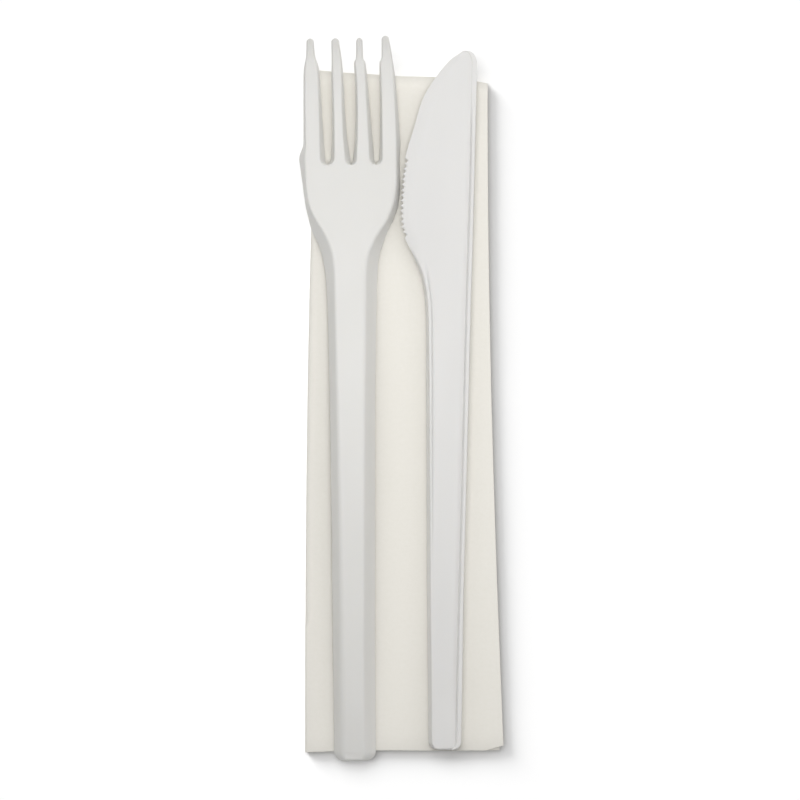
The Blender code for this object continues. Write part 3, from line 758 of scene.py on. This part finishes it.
@dataclass
class Knife:
    """A table knife, moulded in one shot: a flat web with raised rims, and fine teeth on its edge.

    Its outlines follow the photograph. The curves give distances from its middle line, for
    places along it. A start or end is the stretch of its length over which a feature comes or goes.
    """

    lay: Lay
    finish: MouldedBioplastic
    length: float = 159 * MM
    height: float = 3.4 * MM
    recess: float = 0.8 * MM
    web: float = 1.3 * MM
    edge: float = 0.4 * MM
    butt_corner: float = 1.9 * MM
    butt_round: float = 0.4 * MM
    nose: float = 2.9 * MM
    tooth_start: float = 116.5 * MM
    tooth_pitch: float = 1.2 * MM
    tooth_depth: float = 0.62 * MM
    tooth_land: float = 0.1 * MM
    tooth_count: int = 15
    tooth_steps: int = 10
    bevel: float = 3.2 * MM
    bevel_share: float = 0.32
    spine: float = 0.4 * MM
    butt_web_share: float = 0.45
    front_rim_end: Pair = (105 * MM, 115 * MM)
    back_rim_end: Pair = (136 * MM, 151 * MM)
    web_start: Pair = (2 * MM, 13 * MM)
    front_step_start: Pair = (32 * MM, 75 * MM)
    channel_start: Pair = (0.9 * MM, 2.2 * MM)
    heel: float = 100 * MM
    handle_step: float = 2 * MM
    heel_step: float = 0.5 * MM
    blade_step: float = 0.6 * MM
    corner_degrees: int = 8
    sharpest: float = radians(45)

    def __post_init__(self) -> None:
        """Set the curves that give the knife's plan."""
        self.front = in_mm([
            (0, 3.9), (11.4, 4.05), (34, 4.4), (57, 4.65), (80, 4.87), (98, 5.05), (102.4, 5.3),
            (106.9, 6.0), (112.1, 7.9), (116, 9.8), (119, 10.85), (122, 11.1), (125, 11.0),
            (129.6, 10.75), (135.3, 9.8), (141, 8.14), (147.8, 6.13), (152.4, 3.5), (156.9, -0.1),
            (158.4, -2.2), (159, -3.1),
        ])
        self.back = in_mm([
            (0, 3.55), (11.4, 3.7), (34, 3.9), (57, 4.35), (80, 4.8), (102.4, 5.2), (114, 5.5),
            (125, 5.72), (135, 5.9), (149, 6.15), (159, 6.25),
        ])
        self.rim_line = in_mm([
            (0, 2.45), (15, 2.62), (34, 2.95), (57, 3.45), (80, 3.82), (102.4, 4.27), (116, 4.58),
            (129.7, 4.92), (148.4, 5.2), (159, 5.4),
        ])
        self.front_wall = in_mm([(0, 0.8), (40, 0.78), (80, 0.74), (105, 0.5)])
        self.front_rim = in_mm([(0, 0.14), (30, 0.16), (55, 0.26), (80, 0.36), (105, 0.6)])
        self.groove = in_mm([(0, 0.28), (50, 0.28), (85, 0.12), (150, 0.12)])

    def tooth(self, y: float) -> float:
        """How far the cutting edge is notched at a place along it."""
        along = (y - self.tooth_start) / self.tooth_pitch
        if not 0 < along < self.tooth_count:
            return 0.0
        return self.tooth_depth * sin(pi * (along % 1.0)) ** 0.8

    def stations(self) -> list[float]:
        """Places along the knife where the section is taken."""
        corner, nose = self.butt_corner, self.nose
        turns = [radians(angle) for angle in range(0, 89, self.corner_degrees)]
        teeth_end = self.tooth_start + self.tooth_count * self.tooth_pitch
        places = [corner * (1 - cos(turn)) for turn in turns]
        places += spread(corner, self.heel, self.handle_step)
        places += spread(self.heel, self.tooth_start, self.heel_step)
        places += spread(self.tooth_start, teeth_end, self.tooth_pitch / self.tooth_steps)
        places += spread(teeth_end, self.length - nose, self.blade_step)
        return places + [self.length - nose * (1 - sin(turn)) for turn in turns]

    def front_profile(self, y: float) -> list[Pair]:
        """Points over the front wall and its rim: how far in from the edge, and how high, in millimetres."""
        wall, flat = self.front_wall(y) / MM, (self.front_wall(y) + self.front_rim(y)) / MM
        return [
            (0.0, 0.3), (0.8 * wall, 2.8), (0.94 * wall, 3.2), (wall + 0.04, 3.35), (wall + 0.1, 3.4),
            (flat + 0.02, 3.4), (flat + 0.1, 3.36), (flat + 0.18, 3.24), (flat + 0.28, 3.0),
            (flat + 0.4, 2.76), (flat + 0.56, 2.63), (flat + 0.8, 2.6),
        ]

    def back_profile(self, y: float, line: float, right: float) -> list[Pair]:
        """Points over the groove, the rim along the back and the back wall.

        Args:
            y: Distance from the butt.
            line: Where the rim rises from the web, across the knife.
            right: Where the back wall stands.

        Returns:
            Pairs of place across the knife, and height in millimetres.
        """
        dip = self.groove(y) / MM
        return [
            (line - 1.3 * MM, 2.6), (line - 0.8 * MM, 2.6 - 0.35 * dip), (line - 0.45 * MM, 2.6 - 0.85 * dip),
            (line - 0.3 * MM, 2.6 - dip), (line - 0.2 * MM, 2.66 - 0.6 * dip), (line - 0.1 * MM, 2.86),
            (line + 0.02 * MM, 3.14), (line + 0.14 * MM, 3.34), (line + 0.26 * MM, 3.4),
            (right - 0.24 * MM, 3.4), (right - 0.12 * MM, 3.36), (right - 0.05 * MM, 3.2), (right, 0.3),
        ]

    def ring(self, y: float) -> list[Vector]:
        """Section of the knife at a place along it.

        Args:
            y: Distance from the butt.

        Returns:
            The points of the section, from the cutting edge over the top and back below.
        """
        into_butt = max(0.0, 1 - y / self.butt_corner)
        corner = self.butt_corner * (1 - sqrt(max(0.0, 1 - into_butt**2)))
        into_nose = max(0.0, 1 - (self.length - y) / self.nose)
        nose = 0.75 * self.nose * (1 - sqrt(max(0.0, 1 - into_nose**2)))
        right = self.back(y) - corner - nose
        whole = -self.front(y) + corner
        left = whole + self.tooth(y)
        rim = 1 - smoothstep(*self.front_rim_end, y)
        spine = 1 - smoothstep(*self.back_rim_end, y)
        shallow = mix(self.butt_web_share, 1.0, smoothstep(*self.web_start, y))
        stepped = smoothstep(*self.front_step_start, y)
        floor = self.height - self.recess
        web_top = self.height - self.recess * shallow
        web_low = floor - self.web
        middle = (web_top + web_low) / 2
        width = right - left
        bevel = min(self.bevel, self.bevel_share * width)
        flat = (self.front_wall(y) + self.front_rim(y)) / MM
        front = self.front_profile(y)
        count = len(front)
        land = min(self.tooth_land, width / (2 * count))
        over, below = [], []
        for i, (across, up) in enumerate(front):
            share = i / (count - 1)
            drop = self.height - up * MM
            if across > flat:
                drop *= stepped * mix(1.0, shallow, smoothstep(flat, flat + 0.56, across))
            blade_up = mix(middle + self.edge / 2, web_top, sin(share * pi / 2))
            blade_low = mix(middle - self.edge / 2, web_low, sin(share * pi / 2))
            ground = max(whole + share * bevel, left + i * land)
            x = mix(ground, left + across * MM, rim)
            over.append(Vector((x, y, mix(blade_up, self.height - drop, rim))))
            below.append(Vector((x, y, mix(blade_low, self.height - up * MM, rim))))
        line = self.rim_line(y) - corner * 0.6 - nose * 0.9
        line = min(line, right - 0.3 * MM)
        for x, up in self.back_profile(y, line, right):
            x = min(max(x, over[-1].x), right)
            raised = up * MM
            if up < 1:
                raised = sunk = mix(middle - self.spine / 2, raised, spine)
            else:
                sunk = mix(web_low, min(web_low, self.height - max(raised, floor)), spine)
                raised = mix(web_top, max(web_top, raised), spine) + min(0.0, raised - floor)
            over.append(Vector((x, y, raised)))
            below.append(Vector((x, y, sunk)))
        closed = 1 - smoothstep(*self.channel_start, y)
        for point in below[1:-1]:
            point.z = mix(point.z, 0.0, closed)
        into_end = max(0.0, 1 - y / self.butt_round)
        for point in over[1:-1]:
            point.z -= self.butt_round * (1 - sqrt(1 - into_end**2))
        return over + below[1:-1][::-1]

    def build(self) -> Object:
        """Build the knife and dress it.

        Returns:
            The finished knife, lying in its place.
        """
        bm = skin([self.ring(y) for y in self.stations()])
        weld(bm)
        knife = solid_object(bm, "moulded_knife")
        keep_flat(knife, self.sharpest)
        knife.data.materials.append(self.finish.material())
        self.lay.put(knife)
        return knife


@dataclass
class Napkin:
    """One sheet of two-ply tissue, quarter-folded and then folded twice more into a narrow packet.

    Its last fold is a little oblique, so the panels fan out to the right towards the near end. The left
    fold is tight near the near end and bulges beyond it.
    """

    lay: Lay
    finish: CrepedTissue
    length: float = 155.0 * MM
    panel_width: float = 38.8 * MM
    top_fan: float = 6.2 * MM
    under_fan: float = 5.2 * MM
    setback: float = 0.7 * MM
    lean: float = 2.6 * MM
    bow: float = 2.5
    corner_round: float = 1.1 * MM
    half_panel: float = 0.21 * MM
    layer: float = 0.105 * MM
    ply: float = 0.07 * MM
    pitch: float = 0.48 * MM
    fold_reach: Pair = (0.5, 1.6)
    fold_change: Pair = (0.185, 0.2)
    end_inset: float = 0.5 * MM
    cut: Pair = (335 * MM, 309 * MM)
    flat_steps: int = 12
    fold_steps: int = 8
    edge_steps: int = 6
    length_steps: int = 44

    def __post_init__(self) -> None:
        """Set the lines of the two ends, which lie a little crooked across the packet."""
        self.far_line = in_mm([
            (0, 0), (6.8, -0.62), (12.3, -0.92), (19.1, -1.4), (25.9, -1.5), (31.6, -2.0), (37.3, -2.62),
            (39.5, -3.2),
        ])
        self.near_line = in_mm([(0, -0.35), (6, -0.1), (14, 0.12), (30, 0.05), (45, 0.1)])

    def panel_end(self, level: int, share: float) -> float:
        """Where the panel at a level of the stack ends at the right, a share of the way along."""
        fans = (self.under_fan, self.under_fan, self.top_fan - self.setback, self.top_fan)
        return self.panel_width + fans[level] * (1 - share)

    def path(self, share: float) -> list[tuple[Vector, Vector]]:
        """Middle line of the folded strip across the packet, with the direction of its first face.

        Args:
            share: How far along the napkin, from 0 at the near end to 1.

        Returns:
            Pairs of place and direction, X across and Z up.
        """
        pitch = self.pitch
        levels = [self.half_panel + k * pitch for k in range(4)]
        nest, foot = (levels[1] + levels[2]) / 2, (levels[0] + levels[1]) / 2
        reach = mix(*self.fold_reach, smoothstep(*self.fold_change, share))
        left = reach * (1.5 * pitch + self.half_panel)
        right = self.panel_end(0, share) - pitch / 2 - self.half_panel
        turns = [pi * i / self.fold_steps for i in range(self.fold_steps + 1)]
        steps = [i / self.flat_steps for i in range(1, self.flat_steps)]
        far_two, far_three = self.panel_end(2, share), self.panel_end(3, share)
        found = [(Vector((far_two, 0, levels[2])), Vector((0, 0, 1)))]

        def panel(start: float, end: float, level: int, up: int) -> None:
            """Add a flat panel, with its first face up (1) or down (-1)."""
            for step in steps:
                found.append((Vector((mix(start, end, step), 0, levels[level])), Vector((0, 0, up))))

        def fold(centre: Pair, radius: float, out: float, rise: int, face: int) -> None:
            """Add half a turn round a centre, bulging out to the right, or to the left if negative."""
            for turn in turns:
                way = Vector((sin(turn) * out, 0, cos(turn) * rise))
                found.append((Vector((centre[0], 0, centre[1])) + way * radius, way * face))

        panel(far_two, left, 2, 1)
        fold((left, nest), 0.5 * pitch, -reach, 1, 1)
        panel(left, right, 1, -1)
        fold((right, foot), 0.5 * pitch, 1.0, 1, -1)
        panel(right, left, 0, 1)
        fold((left, nest), 1.5 * pitch, -reach, -1, -1)
        panel(left, far_three, 3, -1)
        return [*found, (Vector((far_three, 0, levels[3])), Vector((0, 0, -1)))]

    @staticmethod
    def relief(x: float, y: float) -> float:
        """How far the top of the soft packet rises or falls at a place on it: three low, long waves."""
        waves_mm = (
            0.05 * sin(2 * pi * (y / 0.071 + 0.2)) * cos(2 * pi * x / 0.058)
            + 0.035 * sin(2 * pi * (x / 0.023 + y / 0.09))
            + 0.02 * sin(2 * pi * (y / 0.019 + x / 0.05 + 0.4))
        )
        return waves_mm * MM

    def build(self) -> Object:
        """Build the napkin as one continuous folded sheet and dress it.

        Returns:
            The finished napkin, lying in its place.
        """
        half = self.layer / 2
        lengths = [(i / self.length_steps, 0.0) for i in range(self.length_steps, -1, -1)]
        wraps = [pi * i / self.edge_steps for i in range(1, self.edge_steps)]
        ends = [(0.0, turn) for turn in wraps]
        rows = lengths + ends + [(share, pi) for share, _ in lengths[::-1]]
        grid = []
        for share, end_turn in rows:
            strip = self.path(share)
            reach = self.layer * (1 + 0.5 * cos(end_turn))
            tuck = half * sin(end_turn)
            inset = self.end_inset * share if end_turn == pi else 0.0
            line = []
            cells = [(place, way, 1.0, 0.0) for place, way in strip]
            last, last_way = strip[-1]
            cells += [(last, last_way, cos(turn), sin(turn)) for turn in wraps]
            cells += [(place, way, -1.0, 0.0) for place, way in strip[::-1]]
            for place, way, side, beyond in cells:
                x = place.x + way.x * reach * side + reach * beyond
                z = place.z + way.z * reach * side
                beyond_corner = max(0.0, x - self.panel_end(3, share) + self.corner_round)
                lift = self.corner_round - sqrt(max(0.0, self.corner_round**2 - beyond_corner**2))
                y = mix(self.near_line(x) + lift, self.length + self.far_line(x), share)
                x += self.lean * share**self.bow
                height = z / (4 * self.pitch)
                line.append(Vector((x, y - tuck - inset, z + height * self.relief(x, y))))
            grid.append(line)
        bm = bmesh.new()
        verts = [[bm.verts.new(point) for point in line] for line in grid]
        for near, far in zip(verts, verts[1:]):
            fill(bm, near, far)
        bmesh.ops.recalc_face_normals(bm, faces=bm.faces)
        napkin = mesh_object(bm, "folded_napkin")
        plies = napkin.modifiers.new("Thickness of the plies", "SOLIDIFY")
        plies.thickness = self.ply
        plies.offset = 0.0
        napkin.data.materials.append(self.finish.material())
        self.lay.put(napkin)
        return napkin


@dataclass(frozen=True)
class SoftBox:
    """A round soft box: its place and width in metres, and its power. A level one shines straight down."""

    name: str
    place: tuple[float, float, float]
    width: float
    power: float
    level: bool = False

    def hang(self) -> Object:
        """Hang the soft box, aimed at the set unless it is level."""
        light = bpy.data.lights.new(self.name, "AREA")
        light.shape = "DISK"
        light.size = self.width
        light.energy = self.power
        place = Vector(self.place)
        return hang_lamp(light, place, Vector((0, 0, -1)) if self.level else -place)


@dataclass(frozen=True)
class TableLight:
    """A wide, far light that draws a shadow on the table.

    Its lean is how far its light travels across the table for each metre that it falls, and its
    width is the angle that it spans as seen from the table. Its place has no effect.
    """

    name: str
    power: float
    lean: Pair
    width: float
    place: tuple[float, float, float] = (-0.5, 0.5, 0.6)

    def hang(self) -> Object:
        """Hang the light."""
        light = bpy.data.lights.new(self.name, "SUN")
        light.energy = self.power
        light.angle = self.width
        return hang_lamp(light, Vector(self.place), Vector((*self.lean, -1.0)))


@dataclass
class Studio:
    """White table, soft lamps and a camera that looks straight down.

    The soft boxes light the set only. The table has two lights of its own: a low one, which only the
    napkin shades, and a high one, which the whole set shades.
    """

    frame_width: float = 182.4 * MM
    distance: float = 2.0
    centre: Pair = (-0.07 * MM, -0.26 * MM)
    sensor_mm: float = 36.0
    table_size: float = 3.0
    table_colour: str = "#E4E4E2"
    world: float = 0.265
    boxes: tuple[SoftBox, ...] = (
        SoftBox("soft box above", (0.004, 0.045, 0.27), 0.2, 0.365, level=True),
        SoftBox("soft box behind the far end", (0.0, 0.85, 0.45), 1.0, 2.8),
        SoftBox("soft box at the left", (-0.6, 0.1, 0.5), 0.7, 1.05),
        SoftBox("soft box at the right", (0.6, 0.1, 0.5), 0.7, 1.4),
    )
    napkin_light: TableLight = TableLight("low table light", 3.6, (2.15, -2.15), radians(32))
    cutlery_light: TableLight = TableLight("high table light", 1.57, (0.3, -0.4), radians(65))

    def floor(self) -> Object:
        """Make the table top: plain white to the camera, with the shadow of what lies on it."""
        bm = bmesh.new()
        bmesh.ops.create_grid(bm, x_segments=1, y_segments=1, size=self.table_size)
        floor = mesh_object(bm, "table_top")
        made = bpy.data.materials.new("white laminate, matt pressed")
        made.use_nodes = True
        tree = made.node_tree
        tree.nodes.clear()
        path = add_node(tree, "ShaderNodeLightPath", {}).outputs
        rays = {0: path["Is Camera Ray"], 1: path["Is Glossy Ray"]}
        seen = add_node(tree, "ShaderNodeMath", rays, operation="MAXIMUM")
        plain = add_node(tree, "ShaderNodeBsdfDiffuse", {"Color": linear_colour(self.table_colour)})
        white = add_node(tree, "ShaderNodeBsdfDiffuse", {"Color": linear_colour("#FFFFFF")})
        either = {0: seen.outputs[0], 1: plain.outputs[0], 2: white.outputs[0]}
        both = add_node(tree, "ShaderNodeMixShader", either)
        add_node(tree, "ShaderNodeOutputMaterial", {"Surface": both.outputs[0]})
        floor.data.materials.append(made)
        return floor

    def surroundings(self) -> None:
        """Light the scene evenly from all round, and show white behind it."""
        world = bpy.data.worlds.new("white studio")
        world.use_nodes = True
        bpy.context.scene.world = world
        tree = world.node_tree
        tree.nodes.clear()
        path = add_node(tree, "ShaderNodeLightPath", {})
        fill = add_node(tree, "ShaderNodeBackground", {"Strength": self.world})
        white = add_node(tree, "ShaderNodeBackground", {"Strength": 1.0})
        either = {0: path.outputs["Is Camera Ray"], 1: fill.outputs[0], 2: white.outputs[0]}
        both = add_node(tree, "ShaderNodeMixShader", either)
        add_node(tree, "ShaderNodeOutputWorld", {"Surface": both.outputs[0]})

    @staticmethod
    def group(name: str, things: Sequence[Object]) -> Collection:
        """Collect the things that a lamp lights, or that stand in its way."""
        group = bpy.data.collections.new(name)
        for thing in things:
            group.objects.link(thing)
        return group

    def camera(self) -> None:
        """Add the camera, straight above the set."""
        lens = bpy.data.cameras.new("camera above")
        lens.sensor_width = self.sensor_mm
        lens.lens = self.sensor_mm * self.distance / self.frame_width
        lens.clip_end = 10 * self.distance
        camera = add_object(lens.name, lens)
        camera.location = (*self.centre, self.distance)
        bpy.context.scene.camera = camera

    def build(self, pieces: Sequence[Object]) -> None:
        """Set up the studio round the pieces, of which the napkin is the last."""
        bpy.context.scene.view_settings.view_transform = "Standard"
        floor = self.floor()
        self.surroundings()
        for box in self.boxes:
            box.hang().light_linking.receiver_collection = self.group(f"lit by {box.name}", pieces)
        for light, shading in ((self.napkin_light, pieces[-1:]), (self.cutlery_light, pieces)):
            links = light.hang().light_linking
            links.receiver_collection = self.group(f"lit by {light.name}", [floor])
            links.blocker_collection = self.group(f"shades {light.name}", shading)
        self.camera()


def main() -> None:
    """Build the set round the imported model, piece by piece."""
    logging.basicConfig(level=logging.INFO, format="%(message)s")
    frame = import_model()
    corner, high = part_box("napkin")
    bed = Vector((corner.x, corner.y, high.z + REST_GAP))
    fork_plastic = MouldedBioplastic("crystallised PLA, injection moulded, fork", "#E3E2DF", "#DEDDD9")
    knife_plastic = MouldedBioplastic("crystallised PLA, injection moulded, knife", "#E3E2E0", "#DFDEDC")
    tissue = CrepedTissue("tissue paper, creped, two-ply", "#F3F0E9", "#EDEAE1")
    napkin = Napkin(Lay(Vector((corner.x, corner.y, 0.0))), tissue)
    made = [
        (Fork(Lay(bed + Vector((*FORK_OFFSET, 0)), FORK_TURN), fork_plastic), "fork", "fork_plastic"),
        (Knife(Lay(bed + Vector((*KNIFE_OFFSET, 0)), KNIFE_TURN), knife_plastic), "knife", "knife_plastic"),
        (napkin, "napkin", "napkin_paper"),
    ]
    pieces = []
    for maker, node, slot in made:
        piece = maker.build()
        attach(piece, "root")
        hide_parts(node)
        pieces.append(piece)
        LOG.info("%s: %d faces, replaces %s", piece.name, len(piece.data.polygons), node)
    Studio().build(pieces)
    LOG.info("model has %d nodes", len(frame["nodes"]))


if __name__ == "__main__":
    main()
